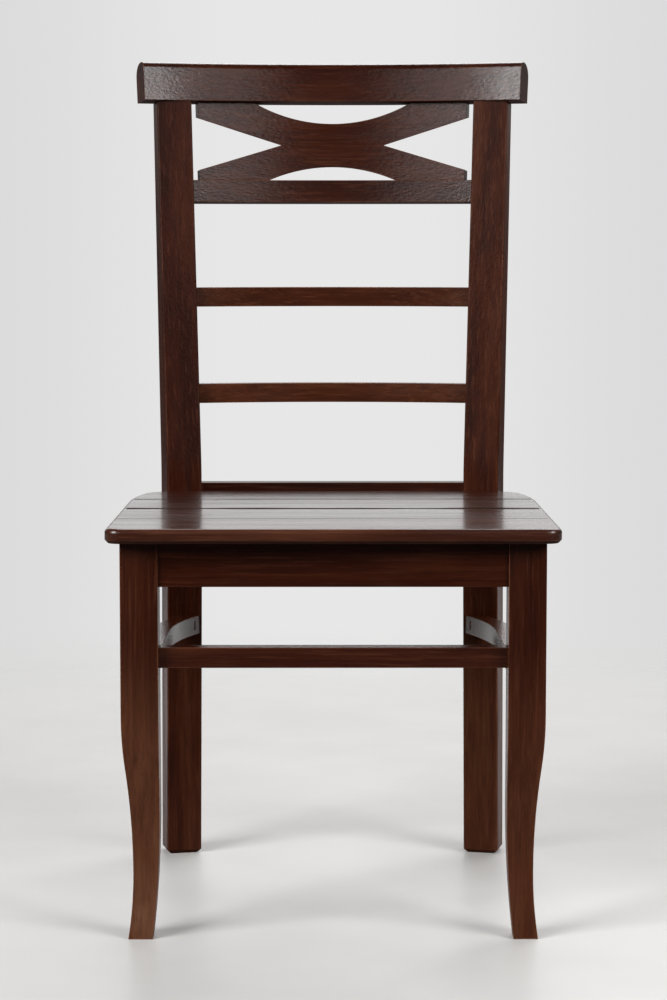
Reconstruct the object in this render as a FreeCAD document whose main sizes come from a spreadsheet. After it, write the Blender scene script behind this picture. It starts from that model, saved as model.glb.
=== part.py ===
import FreeCAD, Part
import os
import re
import Sketcher
from FreeCAD import Vector

os.makedirs("parts", exist_ok=True)
doc = FreeCAD.newDocument("cross_back_chair")

# Driving sizes in millimetres and degrees, depths counted back from the front edge of the seat
# Whole chair
back_reach = 111.0
seat_top = 450.0
seat_thick = 16.0
seat_half = 243.0
seat_depth = 435.0
front_corner = 17.0
board_count = 4.0
side_taper = 4.5
side_curve = 451.0
side_lean = 3.8
corner_curve = 32.0
corner_lean = 13.5
corner_end = 70.0
seat_round = 5.0
seat_under_bevel = 3.5
joint_bevel = 1.2

# Fits and small roundings
slip = 0.2
ease = 1.2
far = 400.0

# Rear posts, planks turned about the upright and leaning back above the seat
post_inset = 84.6
post_thick = 42.5
post_depth = 42.0
post_head = 26.0
post_foot = 36.0
foot_sweep = 14.0
sweep_drop = 13.0
lean_rise = 26.0
bend = 14.0
turn = 13.2
lean = 7.0
foot_bevel = 5.0

# Back members, measured up the leaning back from the lean start
bow = 600.0
crest_low = 451.2
crest_tall = 47.0
crest_thick = 29.0
crest_over = 68.0
crest_front_round = 8.0
crest_back_round = 17.0
crest_front = 23.2
cross_low = 328.4
cross_tall = 27.0
cross_thick = 18.0
cross_front = 31.0
upper_rise = 221.3
upper_tall = 23.3
lower_rise = 104.6
lower_tall = 23.4
slat_thick = 16.0
slat_set = 19.0
rail_spare = 36.0
splat_thick = 14.0
splat_over = 3.1
waist_half = 62.4
waist_rise = 44.1
end_low_rise = 13.6
end_high_drop = 19.8
top_arc_half = 95.0
top_arc_drop = 25.3
low_arc_half = 80.0
low_arc_rise = 17.4

# Front legs, one template sawn on two faces
leg_inset = 15.0
leg_front = 25.0
leg_stock = 40.5
knee_top = 245.0
ankle_high = 72.0
ankle_in = 11.6
foot_in = 6.1
knee_share = 0.33
calf_top = 268.0
calf_low = 142.0
calf_out = 0.2
foot_wide = 26.6

# Seat frame
apron_tall = 49.0
apron_thick = 20.0
apron_recess = 3.0
rear_rail_rise = 9.5
rear_rail_thick = 22.0
block_reach = 48.0
block_tall = 30.0

# Stretchers
front_bar_low = 296.5
front_bar_tall = 22.0
front_bar_front = 35.0
front_bar_thick = 20.0
side_bar_low = 275.0
side_bar_tall = 22.0
side_bar_wide = 22.0
side_bar_inset = 22.5
side_bar_run = 135.0
side_bar_draw = 44.3
side_bar_curve = 343.0
side_bar_sweep = 25.7
side_bar_out = 15.6

# Tenons, dowels and screws
tenon_thick = 10.0
tenon_long = 12.0
tenon_step = 9.0
slat_tenon = 8.0
tenon_inset = 3.0
bar_tenon = 11.0
dowel_wide = 8.0
dowel_long = 38.0
dowel_gap = 18.0
peg_wide = 6.0
peg_long = 20.0
peg_upper_inset = 35.0
peg_lower_inset = 43.0
screw_wide = 4.0
screw_head = 8.0
screw_head_tall = 2.5
screw_long = 38.0

# What follows from the driving sizes
ties = {
    "front_edge": "(-(seat_depth + back_reach) / 2)",
    "shoulder_half": "(seat_half - side_taper)",
    "leg_out": "(seat_half - leg_inset)",
    "post_in": "(seat_half - post_inset)",
    "crest_half": "(post_in + crest_over)",
    "splat_half": "(post_in + splat_over)",
    "peg_upper": "(splat_half - peg_upper_inset)",
    "peg_lower": "(splat_half - peg_lower_inset)",
    "apron_low": "(seat_top - seat_thick - apron_tall)",
    "rear_rail_top": "(seat_top + rear_rail_rise)",
    "lean_start": "(seat_top + lean_rise)",
    "sweep_start": "(apron_low - sweep_drop)",
    "side_bar_ahead": "(leg_out - side_bar_inset)",
    "side_bar_bend": "(seat_depth - side_bar_run)",
    "side_bar_mid": "(post_in + side_bar_draw)",
    "bow_middle": "(crest_front * cos(lean) + crest_low * sin(lean) - bow)",
    "splat_front": "(cross_front + (cross_thick - splat_thick) / 2)",
    "splat_foot": "(cross_low + cross_tall)",
}
tied = re.compile(r"\b(" + "|".join(ties) + r")\b")

sizes = doc.addObject("Spreadsheet::Sheet", "Sizes")
words = [word for word, value in globals().items() if isinstance(value, float)]
for row, word in enumerate(words, 1):
    sizes.set("A%d" % row, word)
    sizes.set("B%d" % row, str(globals()[word]))
    sizes.setAlias("B%d" % row, word)
named = re.compile(r"\b(" + "|".join(words) + r")\b")
doc.recompute()


def say(text):
    while tied.search(text):
        text = tied.sub(lambda found: ties[found.group(0)], text)
    return named.sub(r"Sizes.\1", text)


def number(holder, text):
    value = holder.evalExpression(say(text))
    return float(getattr(value, "Value", value))


def body_at(label, across="0", back="0", up="0", axis=None, angle="0"):
    body = doc.addObject("PartDesign::Body", label)
    body.Label = label
    place(body, across, back, up, axis, angle)
    return body


def place(item, across, back, up, axis=None, angle="0"):
    if axis is not None:
        item.Placement = FreeCAD.Placement(Vector(0, 0, 0), FreeCAD.Rotation(axis, 10))
        item.setExpression("Placement.Rotation.Angle", say(angle))
    item.setExpression("Placement.Base.x", say(across))
    item.setExpression("Placement.Base.y", say("front_edge + (" + back + ")"))
    item.setExpression("Placement.Base.z", say(up))


def pin(sk, geometry, point, x, y):
    for kind, text in (("DistanceX", x), ("DistanceY", y)):
        index = sk.addConstraint(Sketcher.Constraint(kind, -1, 1, geometry, point, number(sk, text)))
        sk.setExpression("Constraints[%d]" % index, say(text))


# An outline is a ring of corners, and a corner with two more values starts an arc through that point
def outline(sk, corners):
    spots = [Vector(number(sk, c[0]), number(sk, c[1]), 0) for c in corners]
    ends = []
    for i, corner in enumerate(corners):
        here = spots[i]
        there = spots[(i + 1) % len(spots)]
        if len(corner) == 4:
            through = Vector(number(sk, corner[2]), number(sk, corner[3]), 0)
            index = sk.addGeometry(Part.Arc(here, through, there), False)
            first = 1 if sk.getPoint(index, 1).distanceToPoint(here) < 1e-4 else 2
            mark = sk.addGeometry(Part.Point(through), True)
            sk.addConstraint(Sketcher.Constraint("PointOnObject", mark, 1, index))
            pin(sk, mark, 1, corner[2], corner[3])
        else:
            index = sk.addGeometry(Part.LineSegment(here, there), False)
            first = 1
        ends.append((index, first))
    for i, (index, first) in enumerate(ends):
        after, start = ends[(i + 1) % len(ends)]
        sk.addConstraint(Sketcher.Constraint("Coincident", index, 3 - first, after, start))
        pin(sk, index, first, corners[i][0], corners[i][1])


def drawing(body, label, plane, lift="0", axis=None, angle="0"):
    sk = body.newObject("Sketcher::SketchObject", label)
    face = [f for f in body.Origin.OriginFeatures if f.Role == plane][0]
    sk.AttachmentSupport = [(face, "")]
    sk.MapMode = "FlatFace"
    if axis is not None:
        sk.AttachmentOffset = FreeCAD.Placement(Vector(0, 0, 0), FreeCAD.Rotation(axis, 10))
        sk.setExpression("AttachmentOffset.Rotation.Angle", say(angle))
    sk.setExpression("AttachmentOffset.Base.z", say(lift))
    return sk


def circle(sk, x, y, across):
    middle = Vector(number(sk, x), number(sk, y), 0)
    index = sk.addGeometry(Part.Circle(middle, Vector(0, 0, 1), number(sk, across) / 2), False)
    pin(sk, index, 3, x, y)
    rim = sk.addConstraint(Sketcher.Constraint("Diameter", index, number(sk, across)))
    sk.setExpression("Constraints[%d]" % rim, say(across))


def pad(body, sk, length, back=False):
    step = body.newObject("PartDesign::Pad", sk.Label + "_pad")
    step.Profile = sk
    step.Reversed = back
    step.setExpression("Length", say(length))
    return settle(body, step, 1)


def pocket(body, sk, length, back=False, through=False):
    step = body.newObject("PartDesign::Pocket", sk.Label + "_cut")
    step.Profile = sk
    step.Reversed = back
    if through:
        step.SideType = "Symmetric"
    step.setExpression("Length", say(length))
    return settle(body, step, -1)


def settle(body, step, grows):
    before = body.Shape.Volume if body.Shape and not body.Shape.isNull() else 0
    doc.recompute()
    gain = body.Shape.Volume - before
    if gain * grows <= 0.01:
        raise RuntimeError(step.Label + " changed nothing")
    return step


def soften(body, radius, wanted, kind="PartDesign::Fillet"):
    last = body.Tip
    names = []
    for number_of, edge in enumerate(last.Shape.Edges):
        if wanted(edge):
            names.append("Edge%d" % (number_of + 1))
    step = body.newObject(kind, body.Label + "_soft")
    step.Base = (last, names)
    if kind == "PartDesign::Fillet":
        step.setExpression("Radius", say(radius))
    else:
        step.setExpression("Size", say(radius))
    return settle(body, step, -1)


# A spot given on a rear post by its distance out of the inner face and back along the plank
def on_post(side, out, along):
    across = "(post_in - (%s) * cos(turn) + (%s) * sin(turn)) * (%d)" % (out, along, side)
    back = "(%s) * sin(turn) + (%s) * cos(turn)" % (out, along)
    return across, back


def lean_at(height):
    return "((%s) - lean_start) * tan(lean) / cos(turn)" % height


# Seat boards, edge glued, the joints marked by fine bevels
def seat_board(label, rank):
    board = body_at(label, up="seat_top - seat_thick")
    front = "seat_depth / board_count * %d" % rank
    rear = "seat_depth / board_count * %d" % (rank + 1)
    side = "seat_half - (seat_half - shoulder_half) * (%s) / (seat_depth / board_count * 3)"
    sk = drawing(board, label + "_plan", "XY_Plane")
    if rank == 0:
        c = "front_corner * (1 - cos(45))"
        ring = [("seat_half", "front_corner"), (side % rear, rear), ("-(" + side % rear + ")", rear),
                ("-seat_half", "front_corner", "-seat_half + " + c, c),
                ("front_corner - seat_half", "0"),
                ("seat_half - front_corner", "0", "seat_half - " + c, c)]
    elif rank == 3:
        spots = []
        for bend, first, angle in (("side", "side_lean", "(side_lean + corner_lean) / 2"),
                                   ("side", "side_lean", "corner_lean"),
                                   ("corner", "corner_lean", "(corner_lean + corner_end) / 2"),
                                   ("corner", "corner_lean", "corner_end")):
            x = "%s_curve * (cos(%s) - cos(%s))" % (bend, first, angle)
            y = "%s_curve * (sin(%s) - sin(%s))" % (bend, angle, first)
            from_x, from_y = spots[1] if bend == "corner" else ("shoulder_half", front)
            spots.append((from_x + " - " + x, from_y + " + " + y))
        one, two, three, four = spots
        heel, heel_back = on_post(1, "-post_thick - 2", "0")
        heel_back = "seat_depth + " + heel_back
        ring = [("-shoulder_half", front), ("shoulder_half", front) + one, two + three, four, (heel, heel_back),
                ("post_in", "seat_depth"), ("-post_in", "seat_depth"), ("-(%s)" % heel, heel_back),
                ("-(%s)" % four[0], four[1], "-(%s)" % three[0], three[1]),
                ("-(%s)" % two[0], two[1], "-(%s)" % one[0], one[1])]
    else:
        ring = [(side % front, front), (side % rear, rear), ("-(" + side % rear + ")", rear),
                ("-(" + side % front + ")", front)]
    outline(sk, ring)
    pad(board, sk, "seat_thick")
    top = number(board, "seat_thick")
    near = number(board, front)
    far_off = number(board, rear)
    deep = number(board, "seat_depth")

    def rim(edge, level):
        box = edge.BoundBox
        if box.ZLength > 0.01 or abs(box.ZMin - level) > 0.01:
            return False
        if rank == 3 and box.YMin > deep - 12:
            return False
        joint = box.YLength < 0.01 and (abs(box.YMin - near) < 0.01 or abs(box.YMin - far_off) < 0.01)
        return not joint or box.YMin < 0.01

    def joints(edge):
        box = edge.BoundBox
        if abs(box.ZMin - top) > 0.01 or box.YLength > 0.01 or box.XLength < 300:
            return False
        return (abs(box.YMin - near) < 0.01 and rank > 0) or (abs(box.YMin - far_off) < 0.01 and rank < 3)

    soften(board, "seat_round", lambda edge: rim(edge, top))
    soften(board, "seat_under_bevel", lambda edge: rim(edge, 0), "PartDesign::Chamfer")
    soften(board, "joint_bevel", joints, "PartDesign::Chamfer")
    return board


boards = [seat_board("seat_board_" + word, i) for i, word in enumerate(("front", "second", "third", "rear"))]


# A spot in the section of the leaning back, counted out from the upright line that the bow turns about
def leant(back, rise):
    out = "(%s) * cos(lean) + (%s) * sin(lean) - bow_middle" % (back, rise)
    return out, "lean_start - (%s) * sin(lean) + (%s) * cos(lean)" % (back, rise)


def spin(body, sk, angle, kind="PartDesign::Revolution"):
    step = body.newObject(kind, sk.Label + "_turned")
    step.Profile = sk
    step.ReferenceAxis = (sk, ["V_Axis"])
    if angle == "360":
        step.Angle = 360
    else:
        step.Midplane = True
        step.setExpression("Angle", say(angle))
    return settle(body, step, -1 if kind.endswith("Groove") else 1)


# Rear posts
def rear_post(label, side):
    post = body_at(label, "post_in * %d" % side, "seat_depth", "0", Vector(0, 0, -side), "turn")
    top = "(crest_low + 60)"
    back_slope = "(%s * tan(lean) / cos(turn) + post_head - post_depth) / %s" % (top, top)
    slope = "tan(lean) / cos(turn)"
    foot = "foot_sweep / sweep_start"
    foot_back = "(foot_sweep + post_foot - post_depth) / sweep_start"
    sk = drawing(post, label + "_template", "YZ_Plane")
    outline(sk, [
        ("foot_sweep", "0"), ("bend * 2 * " + foot, "sweep_start - bend * 2", "bend / 2 * " + foot, "sweep_start"),
        ("0", "sweep_start + bend * 2"),
        ("0", "lean_start - bend", "bend / 4 * " + slope, "lean_start"), ("bend * " + slope, "lean_start + bend"),
        (top + " * " + slope, "lean_start + " + top),
        (top + " * " + slope + " + post_head", "lean_start + " + top),
        ("post_depth + bend * " + back_slope, "lean_start + bend", "post_depth + bend / 4 * " + back_slope, "lean_start"),
        ("post_depth", "lean_start - bend"),
        ("post_depth", "sweep_start + bend * 2", "post_depth + bend / 2 * " + foot_back, "sweep_start"),
        ("post_depth + bend * 2 * " + foot_back, "sweep_start - bend * 2"), ("foot_sweep + post_foot", "0")])
    pad(post, sk, "post_thick", side < 0)
    thick = number(post, "post_thick")

    def arris(edge):
        box = edge.BoundBox
        return box.XLength < 0.01 and box.ZLength > 20

    def foot_rim(edge):
        box = edge.BoundBox
        return box.ZMax < 0.01

    soften(post, "foot_bevel", foot_rim, "PartDesign::Chamfer")
    soften(post, "ease", arris, "PartDesign::Chamfer")
    sk = drawing(post, label + "_head", "YZ_Plane", "(post_in * cos(turn) + bow_middle * sin(turn)) * (%d)" % -side,
                 Vector(0, side, 0), "turn")
    sk.setExpression("AttachmentOffset.Base.x", say("bow_middle * cos(turn) - post_in * sin(turn)"))
    near = leant("crest_front - 90", "crest_low")
    away = leant("crest_front + 110", "crest_low")
    outline(sk, [near, away, (away[0], away[1] + " + 120"), (near[0], near[1] + " + 120")])
    spin(post, sk, "360", "PartDesign::Groove")
    return post


# A mortise sunk in the inner face of a post for a rail tenon of the same sizes
def mortise(post, label, side, middle, low, high, thick):
    sk = drawing(post, label, "YZ_Plane")
    half = "(%s + slip) / 2" % thick
    outline(sk, [("%s - %s" % (middle, half), "%s - slip / 2" % low), ("%s + %s" % (middle, half), "%s - slip / 2" % low),
                 ("%s + %s" % (middle, half), "%s + slip / 2" % high), ("%s - %s" % (middle, half), "%s + slip / 2" % high)])
    pocket(post, sk, "tenon_long + slip", side > 0)


# The wood past the shoulder comes off square to the post, and a tenon stands out of the shoulder
def shoulders(rail, tag, back_shift):
    sk = drawing(rail, rail.Label + tag, "XY_Plane")
    for side in (-1, 1):
        ring = []
        for out, along in (("0", "-90"), ("0", "170"), ("-110", "170"), ("-110", "-90")):
            across, back = on_post(side, out, along)
            ring.append((across, back + back_shift))
        outline(sk, ring)
    pocket(rail, sk, "far * 6", through=True)


def post_tenons(rail, low, high, middle, thick, lift, back_shift):
    sk = drawing(rail, rail.Label + "_tenons", "XY_Plane", lift)
    half = "(%s) / 2" % thick
    for side in (-1, 1):
        ring = []
        for out, along in (("-tenon_long", "-"), ("6", "-"), ("6", "+"), ("-tenon_long", "+")):
            across, back = on_post(side, out, "%s %s %s" % (middle, along, half))
            ring.append((across, back + back_shift))
        outline(sk, ring)
    pad(rail, sk, "(%s) - (%s)" % (high, low))


# A slat is a curved band with upright faces, bowed so that it crosses the post at its own set
def slat(label, rise, tall, posts):
    rail = body_at(label, "0", "seat_depth")
    low = "(seat_top + %s)" % rise
    middle = "(%s + %s / 2)" % (low, tall)
    centre = "((%s - lean_start) * tan(lean) + slat_set - sqrt((bow + slat_thick / 2) ^ 2 - (post_in + 8) ^ 2))" % middle
    half = "(post_in + rail_spare)"
    reach = "sqrt((%s) ^ 2 - %s ^ 2) + " + centre
    sk = drawing(rail, label + "_plan", "XY_Plane", low)
    inner = "bow"
    outer = "bow + slat_thick"
    outline(sk, [("-" + half, reach % (inner, half), "0", inner + " + " + centre), (half, reach % (inner, half)),
                 (half, reach % (outer, half), "0", outer + " + " + centre), ("-" + half, reach % (outer, half))])
    pad(rail, sk, tall)
    along = lean_at(middle) + " + slat_set"
    rail_joint(rail, "", "%s + tenon_inset" % low, "%s + %s - tenon_inset" % (low, tall), along, posts)
    return rail


def rail_joint(rail, shift, floor, ceiling, middle, posts, thick="slat_tenon"):
    shoulders(rail, "_shoulders", shift)
    post_tenons(rail, floor, ceiling, middle, thick, floor, shift)
    for side, post in posts:
        mortise(post, post.Label + "_" + rail.Label, side, middle, floor, ceiling, thick)


# A leaning member is its section turned about the upright line of the bow
def leaning(label, corners, half):
    rail = body_at(label, "0", "seat_depth + bow_middle")
    sk = drawing(rail, label + "_section", "YZ_Plane")
    outline(sk, corners)
    spin(rail, sk, "2 * asin(%s / bow)" % half)
    return rail


def plain_section(front, thick, low, high):
    back = front + " + " + thick
    return [leant(front, low), leant(back, low), leant(back, high), leant(front, high)]


def cross_rail(posts):
    rail = leaning("cross_rail", plain_section("cross_front", "cross_thick", "cross_low", "splat_foot"), "(post_in + rail_spare)")
    floor = "(lean_start + cross_low * cos(lean) + 1)"
    ceiling = "(lean_start + splat_foot * cos(lean) - 9)"
    radius = leant("cross_front + cross_thick / 2", "cross_low + cross_tall / 2")[0]
    middle = "(sqrt((%s) ^ 2 - (post_in + 12) ^ 2) + bow_middle) / cos(turn)" % radius
    rail_joint(rail, " - bow_middle", floor, ceiling, middle, posts)
    return rail


crest_plane = "(lean_start + crest_low * cos(lean))"


# Crest rail, its back top edge rounded well over and its front top edge less
def crest_rail(posts):
    top = "crest_low + crest_tall"
    back = "crest_front + crest_thick"
    cut = " * (1 - cos(45))"
    crest = leaning("crest_rail", [
        leant("crest_front", "crest_low"), leant(back, "crest_low"),
        leant(back, top + " - crest_back_round")
        + leant(back + " - crest_back_round" + cut, top + " - crest_back_round" + cut),
        leant(back + " - crest_back_round", top),
        leant("crest_front + crest_front_round", top)
        + leant("crest_front + crest_front_round" + cut, top + " - crest_front_round" + cut),
        leant("crest_front", top + " - crest_front_round")], "crest_half")
    sk = drawing(crest, "crest_dowel_holes", "XY_Plane", crest_plane + " + dowel_long / 2 + slip")
    for side in (-1, 1):
        for x, y in dowel_spots(side):
            circle(sk, x, y + " - bow_middle", "dowel_wide")
    pocket(crest, sk, "dowel_long")
    for side, post in posts:
        sk = drawing(post, post.Label + "_dowel_holes", "XY_Plane", "%s - dowel_long / 2 - slip" % crest_plane)
        for gap in (-1, 1):
            circle(sk, "(post_thick / 2 + dowel_gap / 2 * %d) * %d" % (gap, side),
                   lean_at(crest_plane) + " + post_head / 2", "dowel_wide")
        pocket(post, sk, "dowel_long", True)
    return crest


def dowel_spots(side):
    along = lean_at(crest_plane) + " + post_head / 2"
    return [on_post(side, "-post_thick / 2 - dowel_gap / 2 * (%d)" % gap, along) for gap in (-1, 1)]


# Cross splat, one bent board sawn to an X between the cross rail and the crest
def splat_up(rise):
    return leant("splat_front + splat_thick / 2", rise)[1]


def peg_spots(reach, rise):
    radius = leant("splat_front + splat_thick / 2", rise)[0]
    return [("(%s) * (%d)" % (reach, side), "sqrt((%s) ^ 2 - (%s) ^ 2)" % (radius, reach)) for side in (-1, 1)]


def peg_holes(body, label, rise, reach):
    sk = drawing(body, label, "XY_Plane", splat_up(rise))
    for x, y in peg_spots(reach, rise):
        circle(sk, x, y, "peg_wide")
    pocket(body, sk, "peg_long + slip * 2", through=True)


def cross_splat(crest, cross):
    splat = leaning("cross_splat", plain_section("splat_front", "splat_thick", "splat_foot", "crest_low"), "splat_half")
    sk = drawing(splat, "cross_splat_openings", "XZ_Plane")
    head = splat_up("crest_low")
    outline(sk, [("-top_arc_half", head, "0", splat_up("crest_low - top_arc_drop")), ("top_arc_half", head),
                 ("top_arc_half", head + " + 10"), ("-top_arc_half", head + " + 10")])
    foot = splat_up("splat_foot")
    outline(sk, [("low_arc_half", foot, "0", splat_up("splat_foot + low_arc_rise")), ("-low_arc_half", foot),
                 ("-low_arc_half", foot + " - 10"), ("low_arc_half", foot + " - 10")])
    run = "(splat_half + 20 - waist_half) / (splat_half - waist_half)"
    for side in (-1, 1):
        reach = "(splat_half + 20) * (%d)" % side
        waist = "splat_foot + waist_rise"
        outline(sk, [("waist_half * (%d)" % side, splat_up(waist)),
                     (reach, splat_up("%s + (end_low_rise - waist_rise) * %s" % (waist, run))),
                     (reach, splat_up("%s + (crest_low - end_high_drop - (%s)) * %s" % (waist, waist, run)))])
    pocket(splat, sk, "far * 4", through=True)
    peg_holes(splat, "splat_upper_holes", "crest_low", "peg_upper")
    peg_holes(splat, "splat_lower_holes", "splat_foot", "peg_lower")
    peg_holes(crest, "crest_peg_holes", "crest_low", "peg_upper")
    peg_holes(cross, "cross_peg_holes", "splat_foot", "peg_lower")
    return splat


# An S curve keeps upright at both ends and turns over at its share of the way
def s_curve(x, z, x_end, z_end, share):
    x_turn = "%s + (%s - (%s)) * %s" % (x, x_end, x, share)
    z_turn = "%s + (%s - (%s)) * %s" % (z, z_end, z, share)
    return [(x, z, "%s + (%s - (%s)) * %s / 4" % (x, x_end, x, share), "%s + (%s - (%s)) * %s / 2" % (z, z_end, z, share)),
            (x_turn, z_turn, "%s - (%s - (%s)) * (1 - %s) / 4" % (x_end, x_end, x, share),
             "%s + (%s - (%s)) * (1 + %s) / 2" % (z, z_end, z, share))]


outer_curve = (s_curve("0", "knee_top", "ankle_in", "ankle_high", "knee_share")
               + [("ankle_in", "ankle_high", "ankle_in + (foot_in - ankle_in) / 4", "ankle_high / 2"), ("foot_in", "0")])
calf = "leg_stock + calf_out"
heel = "foot_in + foot_wide"
inner_curve = ([(heel, "0", "%s + (%s - (%s)) / 4" % (calf, heel, calf), "calf_low / 2")]
               + s_curve(calf, "calf_low", "leg_stock", "calf_top", "0.5") + [("leg_stock", "calf_top")])
under_seat = "(seat_top - seat_thick)"


def flip(corners, sign):
    return [tuple("(%s) * (%d)" % (c, sign) if i % 2 == 0 else c for i, c in enumerate(corner)) for corner in corners]


# Front legs, sawn to one template on the front and on the side
def front_leg(label, side):
    leg = body_at(label, "leg_out * (%d)" % side, "leg_front")
    sk = drawing(leg, label + "_face", "XZ_Plane")
    outline(sk, flip([("0", under_seat)] + outer_curve + inner_curve + [("leg_stock", under_seat)], -side))
    pad(leg, sk, "leg_stock + calf_out + 1", True)
    sk = drawing(leg, label + "_side", "YZ_Plane")
    outline(sk, outer_curve + [("foot_in", "-5"), ("-5", "-5"), ("-5", "knee_top")])
    outline(sk, [("leg_stock + 9", "-5"), (heel, "-5")] + inner_curve
            + [("leg_stock", under_seat + " + 5"), ("leg_stock + 9", under_seat + " + 5")])
    pocket(leg, sk, "far", through=True)
    return leg


# A square socket in the inner face of a leg, and one in its back face
def leg_socket(leg, label, side, back_face, middle, low, high, thick):
    half = "(%s + slip) / 2" % thick
    near = "%s - %s" % (middle, half)
    away = "%s + %s" % (middle, half)
    ring = [(near, low + " - slip / 2"), (away, low + " - slip / 2"), (away, high + " + slip / 2"),
            (near, high + " + slip / 2")]
    if back_face:
        sk = drawing(leg, label, "XZ_Plane", "-leg_stock")
        outline(sk, flip(ring, -side))
        pocket(leg, sk, "tenon_long + slip", True)
    else:
        sk = drawing(leg, label, "YZ_Plane", "leg_stock * (%d)" % -side)
        outline(sk, ring)
        pocket(leg, sk, "tenon_long + slip", side > 0)


def box_ring(x, x_end, y, y_end):
    return [(x, y), (x_end, y), (x_end, y_end), (x, y_end)]


# A straight rail between the front legs
def front_rail(label, front, thick, low, high, tenon, step, legs):
    rail = body_at(label)
    half = "(leg_out - leg_stock)"
    sk = drawing(rail, label + "_plan", "XY_Plane", low)
    outline(sk, box_ring("-" + half, half, front, "%s + %s" % (front, thick)))
    pad(rail, sk, "%s - (%s)" % (high, low))
    floor = "(%s + %s)" % (low, step)
    ceiling = "(%s - %s)" % (high, step)
    sk = drawing(rail, label + "_tenons", "XY_Plane", floor)
    middle = "%s + %s / 2" % (front, thick)
    for side in (-1, 1):
        outline(sk, box_ring("(%s - 5) * (%d)" % (half, side), "(%s + tenon_long) * (%d)" % (half, side),
                             "%s - %s / 2" % (middle, tenon), "%s + %s / 2" % (middle, tenon)))
    pad(rail, sk, "%s - %s" % (ceiling, floor))
    for side, leg in legs:
        leg_socket(leg, leg.Label + "_" + label, side, False, middle + " - leg_front", floor, ceiling, tenon)
    return rail


# A socket in the front face of a post
def post_socket(post, label, side, out, low, high, thick, deep):
    sk = drawing(post, label, "XZ_Plane")
    half = "(%s + slip) / 2" % thick
    outline(sk, flip(box_ring("%s - %s" % (out, half), "%s + %s" % (out, half), low + " - slip / 2", high + " + slip / 2"), -side))
    pocket(post, sk, "%s + tenon_long + slip" % deep)


apron_face = "(leg_out - apron_recess)"
apron_out = "(apron_recess - post_thick)"
apron_in = "(apron_recess + apron_thick + 1 - post_thick)"
leg_back = "(leg_front + leg_stock)"


# Side aprons from the back of a front leg to the front of a rear post
def side_apron(label, side, leg, post):
    apron = body_at(label)
    sk = drawing(apron, label + "_plan", "XY_Plane", "apron_low")
    outer = on_post(1, apron_out, "0")
    inner = on_post(1, apron_in, "0")
    ring = [(apron_face, leg_back), (outer[0], "seat_depth + " + outer[1]), (inner[0], "seat_depth + " + inner[1]),
            (apron_face + " - apron_thick", leg_back)]
    outline(sk, flip(ring, side))
    pad(apron, sk, under_seat + " - apron_low")
    floor = "(apron_low + tenon_step)"
    ceiling = "(%s - tenon_step)" % under_seat
    sk = drawing(apron, label + "_tenons", "XY_Plane", floor)
    middle = "(%s - apron_thick / 2)" % apron_face
    outline(sk, flip(box_ring(middle + " - tenon_thick / 2", middle + " + tenon_thick / 2",
                              leg_back + " - tenon_long", leg_back + " + 6"), side))
    out = "(%s + %s) / 2" % (apron_out, apron_in)
    outline(sk, post_plug(side, out, "tenon_thick", "-6", "tenon_long"))
    pad(apron, sk, "%s - %s" % (ceiling, floor))
    leg_socket(leg, leg.Label + "_" + label, side, True, "leg_out - " + middle, floor, ceiling, "tenon_thick")
    post_socket(post, post.Label + "_" + label, side, out, floor, ceiling, "tenon_thick", "0")
    return apron


def post_plug(side, out, thick, start, end):
    ring = []
    for sign, along in (("-", start), ("+", start), ("+", end), ("-", end)):
        x, y = on_post(side, "%s %s %s / 2" % (out, sign, thick), along)
        ring.append((x, "seat_depth + " + y))
    return ring


# Rear rail between the posts, a little higher than the seat
def rear_rail(posts):
    rail = body_at("rear_rail", "0", "seat_depth")
    sk = drawing(rail, "rear_rail_plan", "XY_Plane", "apron_low")
    outline(sk, box_ring("-post_in - 20", "post_in + 20", "0", "rear_rail_thick"))
    pad(rail, sk, "rear_rail_top - apron_low")
    floor = "(apron_low + tenon_step)"
    ceiling = "(rear_rail_top - tenon_step)"
    rail_joint(rail, "", floor, ceiling, "rear_rail_thick / 2 / cos(turn)", posts, "tenon_thick")
    return rail


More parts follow.
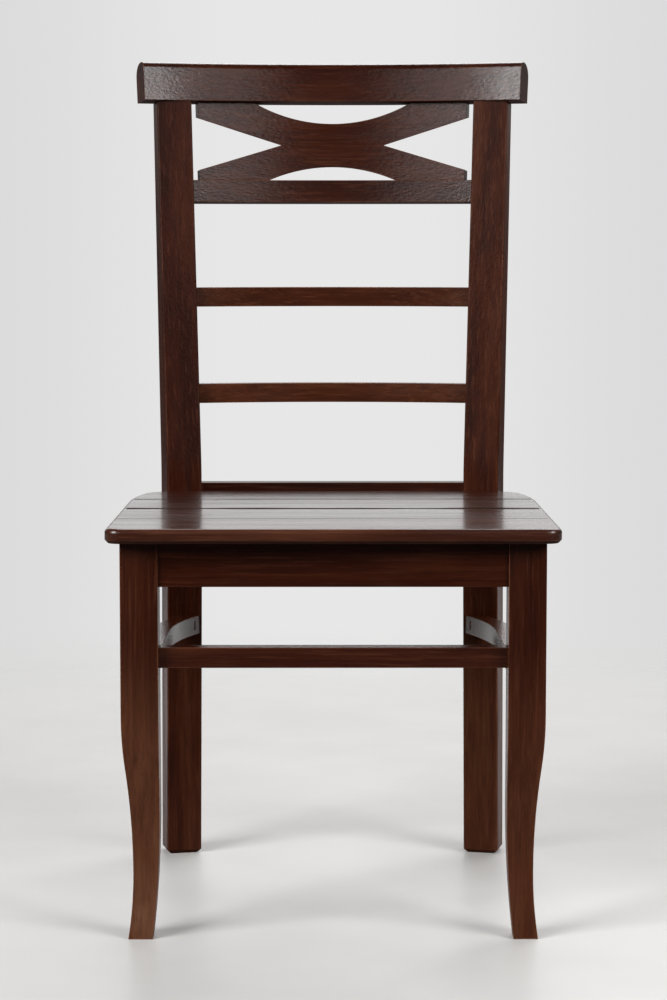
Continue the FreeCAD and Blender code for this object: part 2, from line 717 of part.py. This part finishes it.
# Side stretchers, straight from the front leg and bowed in to the post
def side_stretcher(label, side, leg, post):
    bar = body_at(label)
    sk = drawing(bar, label + "_plan", "XY_Plane", "side_bar_low")
    hub = "(side_bar_mid - side_bar_curve)"
    rays = []
    for edge in ("+", "-"):
        radius = "(side_bar_curve %s side_bar_wide / 2)" % edge
        rays.append([("side_bar_ahead %s side_bar_wide / 2" % edge, leg_back), ("%s + %s" % (hub, radius), "side_bar_bend"),
                     ("%s + %s * cos(side_bar_sweep / 2)" % (hub, radius), "side_bar_bend + %s * sin(side_bar_sweep / 2)" % radius),
                     ("%s + %s * cos(side_bar_sweep)" % (hub, radius), "side_bar_bend + %s * sin(side_bar_sweep)" % radius)])
    out, inn = rays
    outline(sk, flip([out[0], out[1] + out[2], out[3], inn[3] + inn[2], inn[1], inn[0]], side))
    pad(bar, sk, "side_bar_tall")
    sk = drawing(bar, label + "_heel", "YZ_Plane", "post_in * (%d)" % side, Vector(0, -side, 0), "turn")
    sk.setExpression("AttachmentOffset.Base.x", say("seat_depth"))
    line = "foot_sweep * (1 - (%s) / sweep_start)"
    low = "side_bar_low - 10"
    high = "side_bar_low + side_bar_tall + 10"
    outline(sk, [(line % low, low), (line % high, high), ("90", high), ("90", low)])
    pocket(bar, sk, "far", through=True)
    floor = "(side_bar_low + (side_bar_tall - bar_tenon) / 2)"
    ceiling = "(side_bar_low + (side_bar_tall + bar_tenon) / 2)"
    deep = line % "side_bar_low + side_bar_tall / 2"
    sk = drawing(bar, label + "_tenons", "XY_Plane", floor)
    outline(sk, flip(box_ring("side_bar_ahead - bar_tenon / 2", "side_bar_ahead + bar_tenon / 2",
                              leg_back + " - tenon_long", leg_back + " + 6"), side))
    outline(sk, post_plug(side, "-side_bar_out", "bar_tenon", "-8", deep + " + tenon_long"))
    pad(bar, sk, "bar_tenon")
    leg_socket(leg, leg.Label + "_" + label, side, True, "leg_out - side_bar_ahead", floor, ceiling, "bar_tenon")
    post_socket(post, post.Label + "_" + label, side, "-side_bar_out", floor, ceiling, "bar_tenon", deep)
    return bar


# Corner blocks under the seat, glued between the rails and the legs, each with one screw up into the seat
def apron_inner(back):
    inner = on_post(1, apron_in, "0")
    start = "(%s - apron_thick)" % apron_face
    return "%s + (%s - %s) * (%s - %s) / (seat_depth + %s - %s)" % (start, inner[0], start, back, leg_back, inner[1], leg_back)


def corner_block(label, side, rear):
    block = body_at(label)
    if rear:
        inner = on_post(1, apron_in, "0")
        reach = "(seat_depth - block_reach)"
        ring = [("post_in - block_reach", "seat_depth"), ("post_in", "seat_depth"), (inner[0], "seat_depth + " + inner[1]),
                (apron_inner(reach), reach)]
    else:
        half = "(leg_out - leg_stock)"
        front = "(leg_front + apron_recess + apron_thick)"
        reach = "(%s + block_reach)" % leg_back
        ring = [(half + " - block_reach", front), (half, front), (half, leg_back), (apron_face + " - apron_thick", leg_back),
                (apron_inner(reach), reach)]
    sk = drawing(block, label + "_plan", "XY_Plane", under_seat + " - block_tall")
    outline(sk, flip(ring, side))
    pad(block, sk, "block_tall")
    sk = drawing(block, label + "_hole", "XY_Plane", under_seat)
    x, y = screw_spot(side, rear)
    circle(sk, x, y, "screw_wide + slip")
    pocket(block, sk, "block_tall")
    return block


def screw_spot(side, rear):
    if rear:
        return "(post_in + 1) * (%d)" % side, "seat_depth - 16"
    return "(leg_out - leg_stock - 2) * (%d)" % side, leg_back + " + 12"


def pilot_holes(board, label, rear):
    sk = drawing(board, label, "XY_Plane")
    for side in (-1, 1):
        x, y = screw_spot(side, rear)
        circle(sk, x, y, "screw_wide")
    pocket(board, sk, "screw_long - block_tall + slip", True)


def joined(label, pieces):
    whole = doc.addObject("Part::MultiFuse", label)
    whole.Label = label
    whole.Shapes = pieces
    return whole


def rod(label, wide, long, across, back, up, axis=None):
    piece = doc.addObject("Part::Cylinder", label)
    piece.setExpression("Radius", say("(%s) / 2" % wide))
    piece.setExpression("Height", say(long))
    place(piece, across, back, up, axis, "lean")
    return piece


def seat_screws():
    pieces = []
    for rear in (False, True):
        for side in (-1, 1):
            x, y = screw_spot(side, rear)
            pieces.append(rod("screw_shank", "screw_wide", "screw_long", x, y, under_seat + " - block_tall"))
            pieces.append(rod("screw_cap", "screw_head", "screw_head_tall", x, y, under_seat + " - block_tall - screw_head_tall"))
    return joined("seat_screws", pieces)


def crest_dowels():
    pieces = []
    for side in (-1, 1):
        for x, y in dowel_spots(side):
            pieces.append(rod("crest_dowel", "dowel_wide", "dowel_long", x, "seat_depth + " + y, crest_plane + " - dowel_long / 2"))
    return joined("crest_dowels", pieces)


def splat_dowels():
    pieces = []
    for rise, reach in (("crest_low", "peg_upper"), ("splat_foot", "peg_lower")):
        for x, y in peg_spots(reach, rise):
            pieces.append(rod("splat_dowel", "peg_wide", "peg_long", x, "seat_depth + bow_middle + " + y,
                              splat_up(rise) + " - peg_long / 2"))
    return joined("splat_dowels", pieces)


posts = [(-1, rear_post("rear_post_left", -1)), (1, rear_post("rear_post_right", 1))]
lower = slat("lower_slat", "lower_rise", "lower_tall", posts)
upper = slat("upper_slat", "upper_rise", "upper_tall", posts)
cross = cross_rail(posts)
crest = crest_rail(posts)
splat = cross_splat(crest, cross)
legs = [(-1, front_leg("front_leg_left", -1)), (1, front_leg("front_leg_right", 1))]
rails = [front_rail("front_apron", "(leg_front + apron_recess)", "apron_thick", "apron_low", under_seat,
                    "tenon_thick", "tenon_step", legs),
         front_rail("front_stretcher", "front_bar_front", "front_bar_thick", "front_bar_low",
                    "(front_bar_low + front_bar_tall)", "bar_tenon", "(front_bar_tall - bar_tenon) / 2", legs),
         rear_rail(posts)]
blocks = []
for hand, side in (("left", -1), ("right", 1)):
    leg = dict(legs)[side]
    post = dict(posts)[side]
    rails.append(side_apron(hand + "_apron", side, leg, post))
    rails.append(side_stretcher("side_stretcher_" + hand, side, leg, post))
    blocks.append(corner_block("corner_block_front_" + hand, side, False))
    blocks.append(corner_block("corner_block_rear_" + hand, side, True))
pilot_holes(boards[0], "front_pilot_holes", False)
pilot_holes(boards[3], "rear_pilot_holes", True)
hidden = [seat_screws(), crest_dowels(), splat_dowels()]
doc.recompute()

for thing in doc.Objects:
    if "Invalid" in thing.State or "Error" in thing.State:
        raise RuntimeError(thing.Label + " did not settle")
for item in boards + [p for s, p in posts + legs] + [lower, upper, cross, crest, splat] + rails + blocks + hidden:
    if item.Shape.isNull() or not item.Shape.isValid():
        raise RuntimeError(item.Label + " is not a sound solid")
    item.Shape.exportStep("parts/" + item.Label + ".step")
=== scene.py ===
import math

import bmesh
import bpy
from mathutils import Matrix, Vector


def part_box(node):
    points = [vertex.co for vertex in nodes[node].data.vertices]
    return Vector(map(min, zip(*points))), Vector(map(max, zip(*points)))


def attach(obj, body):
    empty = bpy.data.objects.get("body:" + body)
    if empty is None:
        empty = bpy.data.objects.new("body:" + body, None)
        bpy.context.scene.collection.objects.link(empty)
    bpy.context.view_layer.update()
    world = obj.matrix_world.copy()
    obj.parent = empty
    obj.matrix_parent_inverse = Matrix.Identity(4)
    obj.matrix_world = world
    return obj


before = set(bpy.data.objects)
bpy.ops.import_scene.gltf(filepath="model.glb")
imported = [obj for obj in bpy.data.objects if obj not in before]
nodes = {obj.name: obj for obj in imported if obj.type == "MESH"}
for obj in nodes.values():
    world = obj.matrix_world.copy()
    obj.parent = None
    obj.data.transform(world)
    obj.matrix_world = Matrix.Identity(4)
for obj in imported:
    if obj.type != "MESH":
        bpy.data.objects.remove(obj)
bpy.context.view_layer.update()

# The seat is glued up of four boards side by side, grain across the chair, each cut from another
# part of the plank. Its lacquer is the thickest on the chair. A thin dark strip along each joint is
# painted shade for the fine V between the boards, and stands a little proud in the two rear ones.
sideways, fore_and_aft, upright = 0, 1, 2


# All the wood is stained a very dark red brown and lacquered. Grain runs along each piece, fine
# pores show, end grain is duller, and the arrises are lighter, partly rubbed wear, partly painted
# highlight.
def stained_wood(name, along, shift=0.0, tone=1.0, rub_and_highlight=0.5, gloss=0.22, coat=0.3,
                 pale_foot=0.0, relief=1.0, shine=0.26):
    mat = bpy.data.materials.new(name)
    mat.use_nodes = True
    tree = mat.node_tree
    new = tree.nodes.new
    link = tree.links.new
    shader = tree.nodes["Principled BSDF"]
    shader.inputs["Coat Roughness"].default_value = 0.14
    shader.inputs["Coat IOR"].default_value = 1.45
    shader.inputs["Specular IOR Level"].default_value = shine
    place = new("ShaderNodeTexCoord")
    white = (1.0, 1.0, 1.0)
    black = (0.0, 0.0, 0.0)

    def stretched(lengthwise, crosswise, turn=0.0):
        mapping = new("ShaderNodeMapping")
        scale = [crosswise] * 3
        scale[along] = lengthwise
        mapping.inputs["Scale"].default_value = scale
        mapping.inputs["Location"].default_value = (shift * 1.7, shift * 0.9 + turn, shift * 2.3)
        link(place.outputs["Object"], mapping.inputs["Vector"])
        return mapping.outputs["Vector"]

    def noise(vector, scale, detail, rough, twist=0.0):
        cloud = new("ShaderNodeTexNoise")
        cloud.inputs["Scale"].default_value = scale
        cloud.inputs["Detail"].default_value = detail
        cloud.inputs["Roughness"].default_value = rough
        cloud.inputs["Distortion"].default_value = twist
        link(vector, cloud.inputs["Vector"])
        return cloud.outputs["Fac"]

    def ramp(value, *stops):
        curve = new("ShaderNodeValToRGB")
        marks = curve.color_ramp.elements
        while len(marks) < len(stops):
            marks.new(0.5)
        for mark, (at, colour) in zip(marks, stops):
            mark.position = at
            mark.color = (*colour, 1.0)
        link(value, curve.inputs["Fac"])
        return curve.outputs["Color"]

    def mix(kind, amount, first, second):
        node = new("ShaderNodeMix")
        node.data_type = "RGBA"
        node.blend_type = kind
        for socket, value in (("Factor_Float", amount), ("A_Color", first), ("B_Color", second)):
            spot = [i for i in node.inputs if i.identifier == socket][0]
            if isinstance(value, (float, tuple)):
                spot.default_value = value
            else:
                link(value, spot)
        return [o for o in node.outputs if o.identifier == "Result_Color"][0]

    def stain(depth):
        warm = depth ** 1.6
        gold = depth ** 2
        return ramp(figure, (0.28, (0.022 * depth, 0.0036 * warm, 0.0011 * gold)),
                    (0.50, (0.040 * depth, 0.0078 * warm, 0.0024 * gold)),
                    (0.76, (0.068 * depth, 0.0175 * warm, 0.0065 * gold)))

    figure = noise(stretched(1.6, 12.0), 2.0, 6.0, 0.55, 0.6)
    ground = stain(tone)
    # The colour grows lighter from the knee down to the foot
    if pale_foot:
        height = new("ShaderNodeSeparateXYZ")
        link(place.outputs["Object"], height.inputs["Vector"])
        low = new("ShaderNodeMapRange")
        low.interpolation_type = "SMOOTHSTEP"
        knee, ankle = 0.34, 0.19
        low.inputs["From Min"].default_value = knee
        low.inputs["From Max"].default_value = ankle
        link(height.outputs["Z"], low.inputs["Value"])
        ground = mix("MIX", low.outputs["Result"], ground, stain(tone * pale_foot))
    streaks = noise(stretched(4.0, 150.0, 3.0), 1.6, 5.0, 0.6)
    streaked = mix("MULTIPLY", 0.6, ground, ramp(streaks, (0.34, (0.5, 0.45, 0.45)), (0.60, white)))
    pores = noise(stretched(26.0, 620.0, 7.0), 1.3, 3.0, 0.65)
    pored = mix("MULTIPLY", 0.35, streaked, ramp(pores, (0.36, (0.35, 0.33, 0.33)), (0.46, white)))
    pale_streaks = noise(stretched(9.0, 230.0, 11.0), 1.5, 4.0, 0.6)
    pale = ramp(pale_streaks, (0.54, black), (0.68, (0.24, 0.24, 0.24)))
    flecked = mix("MIX", pale, pored, (0.125 * tone, 0.042 * tone, 0.020 * tone, 1.0))

    # End grain, on faces that look along the piece, drinks more stain and keeps less gloss
    flat = new("ShaderNodeNewGeometry")
    faces = new("ShaderNodeSeparateXYZ")
    link(flat.outputs["Normal"], faces.inputs["Vector"])
    facing = new("ShaderNodeMath")
    facing.operation = "ABSOLUTE"
    link(faces.outputs["XYZ"[along]], facing.inputs[0])
    end = ramp(facing.outputs["Value"], (0.70, black), (0.85, white))
    stained = mix("MULTIPLY", end, flecked, (0.75, 0.7, 0.7, 1.0))

    # Faces that look down were only wiped over, so they have no lacquer to shine
    wiped = new("ShaderNodeMapRange")
    wiped.inputs["From Min"].default_value = -0.15
    wiped.inputs["From Max"].default_value = -0.45
    link(faces.outputs["Z"], wiped.inputs["Value"])
    if coat:
        lacquer = new("ShaderNodeMapRange")
        lacquer.inputs["From Min"].default_value = -0.35
        lacquer.inputs["From Max"].default_value = -0.15
        lacquer.inputs["To Max"].default_value = coat
        link(faces.outputs["Z"], lacquer.inputs["Value"])
        link(lacquer.outputs["Result"], shader.inputs["Coat Weight"])

    # Lighter arrises, partly rubbed wear and partly painted highlight on the edges, found where the
    # rounded normal leaves the flat one
    rounded = new("ShaderNodeBevel")
    rounded.samples = 6
    rounded.inputs["Radius"].default_value = 0.0022
    turned = new("ShaderNodeVectorMath")
    turned.operation = "DOT_PRODUCT"
    link(rounded.outputs["Normal"], turned.inputs[0])
    link(flat.outputs["Normal"], turned.inputs[1])
    arris = ramp(turned.outputs["Value"], (0.80, white), (0.985, black))
    patchy = ramp(noise(stretched(9.0, 40.0, 5.0), 1.2, 5.0, 0.7), (0.38, black), (0.60, (rub_and_highlight, rub_and_highlight, rub_and_highlight)))
    wear_and_highlight = mix("MULTIPLY", 1.0, arris, patchy)
    bare_and_highlight = (0.27 * tone, 0.105 * tone, 0.055 * tone, 1.0)
    link(mix("MIX", wear_and_highlight, stained, bare_and_highlight), shader.inputs["Base Color"])

    # Gloss in patches, over a surface that waves a little and shows the grain and fine specks
    clouds = noise(stretched(2.0, 18.0, 9.0), 2.0, 4.0, 0.6)
    sheen = ramp(clouds, (0.3, (gloss * 0.75,) * 3), (0.7, (gloss * 1.4,) * 3))
    dulled = mix("MIX", end, sheen, (0.6, 0.6, 0.6, 1.0))
    link(mix("MIX", wiped.outputs["Result"], dulled, (0.9, 0.9, 0.9, 1.0)), shader.inputs["Roughness"])
    soft = new("ShaderNodeBevel")
    soft.samples = 6
    soft.inputs["Radius"].default_value = 0.0014
    waves = new("ShaderNodeBump")
    waves.inputs["Strength"].default_value = 0.25 * relief
    waves.inputs["Distance"].default_value = 0.0012
    link(noise(stretched(1.5, 9.0, 2.0), 3.0, 2.0, 0.5), waves.inputs["Height"])
    link(soft.outputs["Normal"], waves.inputs["Normal"])
    grain = new("ShaderNodeBump")
    grain.inputs["Strength"].default_value = 0.2 * relief
    grain.inputs["Distance"].default_value = 0.0003
    link(streaks, grain.inputs["Height"])
    link(waves.outputs["Normal"], grain.inputs["Normal"])
    speckle = new("ShaderNodeBump")
    speckle.inputs["Strength"].default_value = 0.5 * relief
    speckle.inputs["Distance"].default_value = 0.0006
    link(noise(stretched(170.0, 400.0, 13.0), 1.0, 3.0, 0.6), speckle.inputs["Height"])
    link(grain.outputs["Normal"], speckle.inputs["Normal"])
    link(speckle.outputs["Normal"], shader.inputs["Normal"])
    link(speckle.outputs["Normal"], shader.inputs["Coat Normal"])
    return mat


def dress(node, mat):
    cells = nodes[node].data.materials
    cells.clear()
    cells.append(mat)


for i, (board, tone) in enumerate((("front", 1.3), ("second", 1.0), ("third", 0.92), ("rear", 1.06))):
    dress("seat_board_" + board, stained_wood("wood_seat_" + board, sideways, 3.1 * i, tone,
                                              gloss=0.31, coat=0.75, relief=0.45))

# Painted shade for the joints: a thin dark strip, a little uneven along its length
shade_material = bpy.data.materials.new("painted_joint_shade")
shade_material.use_nodes = True
shade_shader = shade_material.node_tree.nodes["Principled BSDF"]
shade_shader.inputs["Specular IOR Level"].default_value = 0.1
shade_noise = shade_material.node_tree.nodes.new("ShaderNodeTexNoise")
shade_noise.inputs["Scale"].default_value = 260.0
shade_ramp = shade_material.node_tree.nodes.new("ShaderNodeValToRGB")
shade_ramp.color_ramp.elements[0].color = (0.010, 0.003, 0.0015, 1.0)
shade_ramp.color_ramp.elements[1].color = (0.030, 0.009, 0.004, 1.0)
shade_material.node_tree.links.new(shade_noise.outputs["Fac"], shade_ramp.inputs["Fac"])
shade_material.node_tree.links.new(shade_ramp.outputs["Color"], shade_shader.inputs["Base Color"])
shade_shader.inputs["Roughness"].default_value = 0.9
# One dark strip of painted joint shade per joint, standing proud of the seat by the last number
joints = (("front", "second", 0.0001), ("second", "third", 0.0010), ("third", "rear", 0.0005))
steps = 40
for front, behind, proud in joints:
    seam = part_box("seat_board_" + front)[1][1]
    seat_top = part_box("seat_board_" + front)[1][2]
    board = nodes["seat_board_" + behind].data
    side = max(v.co.x for v in board.vertices if v.co.y < seam + 0.004 and v.co.z > seat_top - 0.006)
    reach = side - 0.006
    shade_strip = bmesh.new()
    rows = []
    for step in range(steps + 1):
        x = -reach + 2.0 * reach * step / steps
        crown = proud * (0.75 + 0.25 * math.sin(11.0 * x) * math.cos(37.0 * x))
        section = ((-0.0010, -0.0008), (-0.0009, 0.0), (0.0, crown), (0.0009, 0.0), (0.0010, -0.0008))
        rows.append([shade_strip.verts.new((x, seam + y, seat_top + z)) for y, z in section])
    for here, there in zip(rows, rows[1:]):
        for j in range(len(here)):
            after = (j + 1) % len(here)
            shade_strip.faces.new((here[j], there[j], there[after], here[after]))
    shade_strip.faces.new(rows[0])
    shade_strip.faces.new(rows[-1][::-1])
    bmesh.ops.recalc_face_normals(shade_strip, faces=shade_strip.faces)
    mesh = bpy.data.meshes.new("joint_shadow_strip_" + behind)
    shade_strip.to_mesh(mesh)
    shade_strip.free()
    mesh.materials.append(shade_material)
    piece = bpy.data.objects.new("joint_shadow_strip_" + behind, mesh)
    bpy.context.collection.objects.link(piece)
    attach(piece, "root")

# The seat frame: an apron at the front and on each side and a rail at the rear, tenoned into the
# legs, with a glued block in each corner and a steel screw up through each block into the seat.
for rail, shift, tone in (("front_apron", 11.0, 0.9), ("rear_rail", 12.0, 0.65)):
    dress(rail, stained_wood("wood_" + rail, sideways, shift, tone,
                             rub_and_highlight=0.4, gloss=0.3, coat=0.0, shine=0.18))
for i, rail in enumerate(("left_apron", "right_apron")):
    dress(rail, stained_wood("wood_" + rail, fore_and_aft, 14.0 + i, 0.9, rub_and_highlight=0.4))
block_wood = stained_wood("wood_blocks", sideways, 17.0, 1.5, rub_and_highlight=0.2, gloss=0.5)
for end in ("front", "rear"):
    for hand in ("left", "right"):
        dress("corner_block_%s_%s" % (end, hand), block_wood)
steel = bpy.data.materials.new("screw_steel")
steel.use_nodes = True
metal = steel.node_tree.nodes["Principled BSDF"]
metal.inputs["Base Color"].default_value = (0.56, 0.55, 0.53, 1.0)
metal.inputs["Metallic"].default_value = 1.0
speckle = steel.node_tree.nodes.new("ShaderNodeTexNoise")
speckle.inputs["Scale"].default_value = 900.0
dull = steel.node_tree.nodes.new("ShaderNodeMapRange")
dull.inputs["To Min"].default_value = 0.3
dull.inputs["To Max"].default_value = 0.5
steel.node_tree.links.new(speckle.outputs["Fac"], dull.inputs["Value"])
steel.node_tree.links.new(dull.outputs["Result"], metal.inputs["Roughness"])
dress("seat_screws", steel)

# The legs, grain upright: curved front legs, whose colour grows lighter towards the foot and whose
# arrises are lightened most, rubbed wear and painted highlight, and rear posts sawn from plain planks,
# with the dullest lacquer.
for i, hand in enumerate(("left", "right")):
    dress("front_leg_" + hand, stained_wood("wood_front_leg_" + hand, upright, 21.0 + 2.4 * i, 1.05,
                                            rub_and_highlight=1.0, gloss=0.3, coat=0.0, pale_foot=2.5 - 0.75 * i,
                                            shine=0.22))
    dress("rear_post_" + hand, stained_wood("wood_rear_post_" + hand, upright, 27.0 + 1.9 * i,
                                            0.92 + 0.33 * i, rub_and_highlight=0.9, gloss=0.33, coat=0.0,
                                            pale_foot=1.55, shine=0.09))

# The back: crest, cross splat and the bowed rails, grain across the chair, with hidden dowels. The
# wide pieces carry more lacquer than the two narrow slats.
back_pieces = (("crest_rail", 0.95, 0.22, 0.45), ("cross_rail", 1.05, 0.24, 0.7),
               ("cross_splat", 1.0, 0.24, 0.7), ("upper_slat", 1.5, 0.26, 0.15),
               ("lower_slat", 1.4, 0.26, 0.15))
for i, (piece, tone, gloss, coat) in enumerate(back_pieces):
    dress(piece, stained_wood("wood_" + piece, sideways, 33.0 + 2.7 * i, tone,
                              rub_and_highlight=0.7, gloss=gloss, coat=coat))
dowel_wood = stained_wood("wood_dowels", upright, 51.0, 6.0, rub_and_highlight=0.1, gloss=0.5)
for piece in ("crest_dowels", "splat_dowels"):
    dress(piece, dowel_wood)

# The stretchers tie the legs together below the seat: one across between the front legs, and one
# down each side that bows in to meet the rear post.
dress("front_stretcher", stained_wood("wood_front_stretcher", sideways, 57.0, 1.0, rub_and_highlight=0.8, gloss=0.24))
for i, hand in enumerate(("left", "right")):
    dress("side_stretcher_" + hand, stained_wood("wood_side_stretcher_" + hand, fore_and_aft,
                                                 61.0 + i, 1.6, rub_and_highlight=0.7, gloss=0.2))

# The studio floor is pale, scuffed and faintly glossy, and fades out into the pale room far from
# the chair. To all but the camera its colour is painted darker in front of the chair than behind it,
# painted shade in what the lacquer mirrors and in the light the floor throws back.
bpy.ops.mesh.primitive_grid_add(x_subdivisions=8, y_subdivisions=8, size=16.0, location=(0.0, 0.0, 0.0))
floor = bpy.context.object
floor.name = "studio_floor"
paint = bpy.data.materials.new("floor_paint")
paint.use_nodes = True
tree = paint.node_tree
surface = tree.nodes["Principled BSDF"]
spot = tree.nodes.new("ShaderNodeTexCoord")
far_back = tree.nodes.new("ShaderNodeSeparateXYZ")
tree.links.new(spot.outputs["Object"], far_back.inputs["Vector"])
# Painted shade: darker in front of the chair, seen only in reflections and bounced light
mirrored_shade = tree.nodes.new("ShaderNodeMapRange")
mirrored_shade.inputs["From Min"].default_value = -0.6
mirrored_shade.inputs["From Max"].default_value = 0.6
mirrored_shade.inputs["To Min"].default_value = 0.12
mirrored_shade.inputs["To Max"].default_value = 0.70
tree.links.new(far_back.outputs["Y"], mirrored_shade.inputs["Value"])
ray = tree.nodes.new("ShaderNodeLightPath")
scuffs = tree.nodes.new("ShaderNodeTexNoise")
scuffs.inputs["Scale"].default_value = 5.0
scuffs.inputs["Detail"].default_value = 8.0
tree.links.new(spot.outputs["Object"], scuffs.inputs["Vector"])
tint = tree.nodes.new("ShaderNodeValToRGB")
tint.color_ramp.elements[0].position = 0.3
tint.color_ramp.elements[0].color = (0.66, 0.645, 0.63, 1.0)
tint.color_ramp.elements[1].position = 0.7
tint.color_ramp.elements[1].color = (0.71, 0.70, 0.685, 1.0)
tree.links.new(scuffs.outputs["Fac"], tint.inputs["Fac"])
pale = tree.nodes.new("ShaderNodeMixRGB")
tree.links.new(ray.outputs["Is Camera Ray"], pale.inputs["Fac"])
tree.links.new(mirrored_shade.outputs["Result"], pale.inputs["Color1"])
tree.links.new(tint.outputs["Color"], pale.inputs["Color2"])
tree.links.new(pale.outputs["Color"], surface.inputs["Base Color"])
surface.inputs["Roughness"].default_value = 0.38
surface.inputs["Specular IOR Level"].default_value = 0.22
away = tree.nodes.new("ShaderNodeVectorMath")
away.operation = "LENGTH"
tree.links.new(spot.outputs["Object"], away.inputs[0])
fades = []
for near, far in ((3.0, 6.0), (0.8, 2.2)):
    fade = tree.nodes.new("ShaderNodeMapRange")
    fade.interpolation_type = "SMOOTHSTEP"
    fade.inputs["From Min"].default_value = near
    fade.inputs["From Max"].default_value = far
    tree.links.new(away.outputs["Value"], fade.inputs["Value"])
    fades.append(fade)
gone = tree.nodes.new("ShaderNodeMix")
tree.links.new(ray.outputs["Is Camera Ray"], gone.inputs["Factor"])
tree.links.new(fades[0].outputs["Result"], gone.inputs["A"])
tree.links.new(fades[1].outputs["Result"], gone.inputs["B"])
clear = tree.nodes.new("ShaderNodeBsdfTransparent")
blend = tree.nodes.new("ShaderNodeMixShader")
tree.links.new(gone.outputs["Result"], blend.inputs["Fac"])
tree.links.new(surface.outputs["BSDF"], blend.inputs[1])
tree.links.new(clear.outputs["BSDF"], blend.inputs[2])
tree.links.new(blend.outputs["Shader"], tree.nodes["Material Output"].inputs["Surface"])
floor.data.materials.append(paint)

# The room lights the chair only from straight behind, as in a studio with one pale backdrop, and
# is dim all round. Where the camera sees it, it is plain pale grey, brightest in the middle.
world = bpy.data.worlds.new("room")
bpy.context.scene.world = world
world.use_nodes = True
tree = world.node_tree
tree.nodes.clear()
out = tree.nodes.new("ShaderNodeOutputWorld")
backdrop = tree.nodes.new("ShaderNodeBackground")
light = tree.nodes.new("ShaderNodeBackground")
where = tree.nodes.new("ShaderNodeTexCoord")
split = tree.nodes.new("ShaderNodeSeparateXYZ")
tree.links.new(where.outputs["Generated"], split.inputs["Vector"])
depth = tree.nodes.new("ShaderNodeMapRange")
depth.interpolation_type = "SMOOTHSTEP"
depth.inputs["From Min"].default_value = 0.70
depth.inputs["From Max"].default_value = 0.97
depth.inputs["To Min"].default_value = 0.05
depth.inputs["To Max"].default_value = 0.95
tree.links.new(split.outputs["Y"], depth.inputs["Value"])
above = tree.nodes.new("ShaderNodeMapRange")
above.interpolation_type = "SMOOTHSTEP"
above.inputs["From Min"].default_value = 0.0
above.inputs["From Max"].default_value = 0.08
above.inputs["To Min"].default_value = 0.05
tree.links.new(split.outputs["Z"], above.inputs["Value"])
shade = tree.nodes.new("ShaderNodeMath")
shade.operation = "MULTIPLY"
tree.links.new(depth.outputs["Result"], shade.inputs[0])
tree.links.new(above.outputs["Result"], shade.inputs[1])
tree.links.new(shade.outputs["Value"], light.inputs["Color"])
aside = tree.nodes.new("ShaderNodeMath")
aside.operation = "ABSOLUTE"
tree.links.new(split.outputs["X"], aside.inputs[0])
glow = tree.nodes.new("ShaderNodeMapRange")
glow.interpolation_type = "SMOOTHSTEP"
glow.inputs["From Min"].default_value = 0.02
glow.inputs["From Max"].default_value = 0.13
glow.inputs["To Min"].default_value = 0.80
glow.inputs["To Max"].default_value = 0.71
tree.links.new(aside.outputs["Value"], glow.inputs["Value"])
tree.links.new(glow.outputs["Result"], backdrop.inputs["Color"])
ray = tree.nodes.new("ShaderNodeLightPath")
pick = tree.nodes.new("ShaderNodeMixShader")
tree.links.new(ray.outputs["Is Camera Ray"], pick.inputs["Fac"])
tree.links.new(light.outputs["Background"], pick.inputs[1])
tree.links.new(backdrop.outputs["Background"], pick.inputs[2])
tree.links.new(pick.outputs["Shader"], out.inputs["Surface"])


# Soft boxes: one in front on each side, a weak panel between for the sheen on the crest and splat
# from each side, and a large one high behind that lights the back and the floor.
def soft_box(name, at, aim, wide, tall, power):
    lamp = bpy.data.lights.new(name, "AREA")
    lamp.shape = "RECTANGLE"
    lamp.size = wide
    lamp.size_y = tall
    lamp.energy = power
    box = bpy.data.objects.new(name, lamp)
    box.location = at
    box.rotation_euler = (Vector(aim) - Vector(at)).to_track_quat("-Z", "Y").to_euler()
    bpy.context.collection.objects.link(box)


soft_box("left_box", (-2.86, -2.23, 2.3), (0.0, 0.0, 0.6), 2.0, 2.0, 150.0)
soft_box("right_box", (2.86, -2.23, 2.3), (0.0, 0.0, 0.6), 1.8, 1.8, 105.0)
soft_box("left_panel", (-1.65, -3.3, 2.25), (0.0, 0.0, 0.9), 1.7, 1.1, 10.0)
soft_box("right_panel", (1.65, -3.3, 2.25), (0.0, 0.0, 0.9), 1.7, 1.1, 10.0)
soft_box("rear_box", (0.9, 2.7, 3.4), (0.0, 0.0, 0.4), 3.4, 2.6, 100.0)

# The camera stands a little under three metres off the seat at the height of the lower back,
# tipped down and turned a trace to the right.
view = bpy.data.cameras.new("camera")
view.sensor_fit = "VERTICAL"
view.sensor_height = 36.0
view.lens = 99.3
tipped_down = 5.62
turned_right = 0.134
camera = bpy.data.objects.new("camera", view)
camera.location = (-0.0066, -3.168, 0.766)
camera.rotation_euler = (math.radians(90.0 - tipped_down), 0.0, math.radians(-turned_right))
bpy.context.collection.objects.link(camera)
bpy.context.scene.camera = camera
bpy.context.scene.view_settings.view_transform = "Standard"
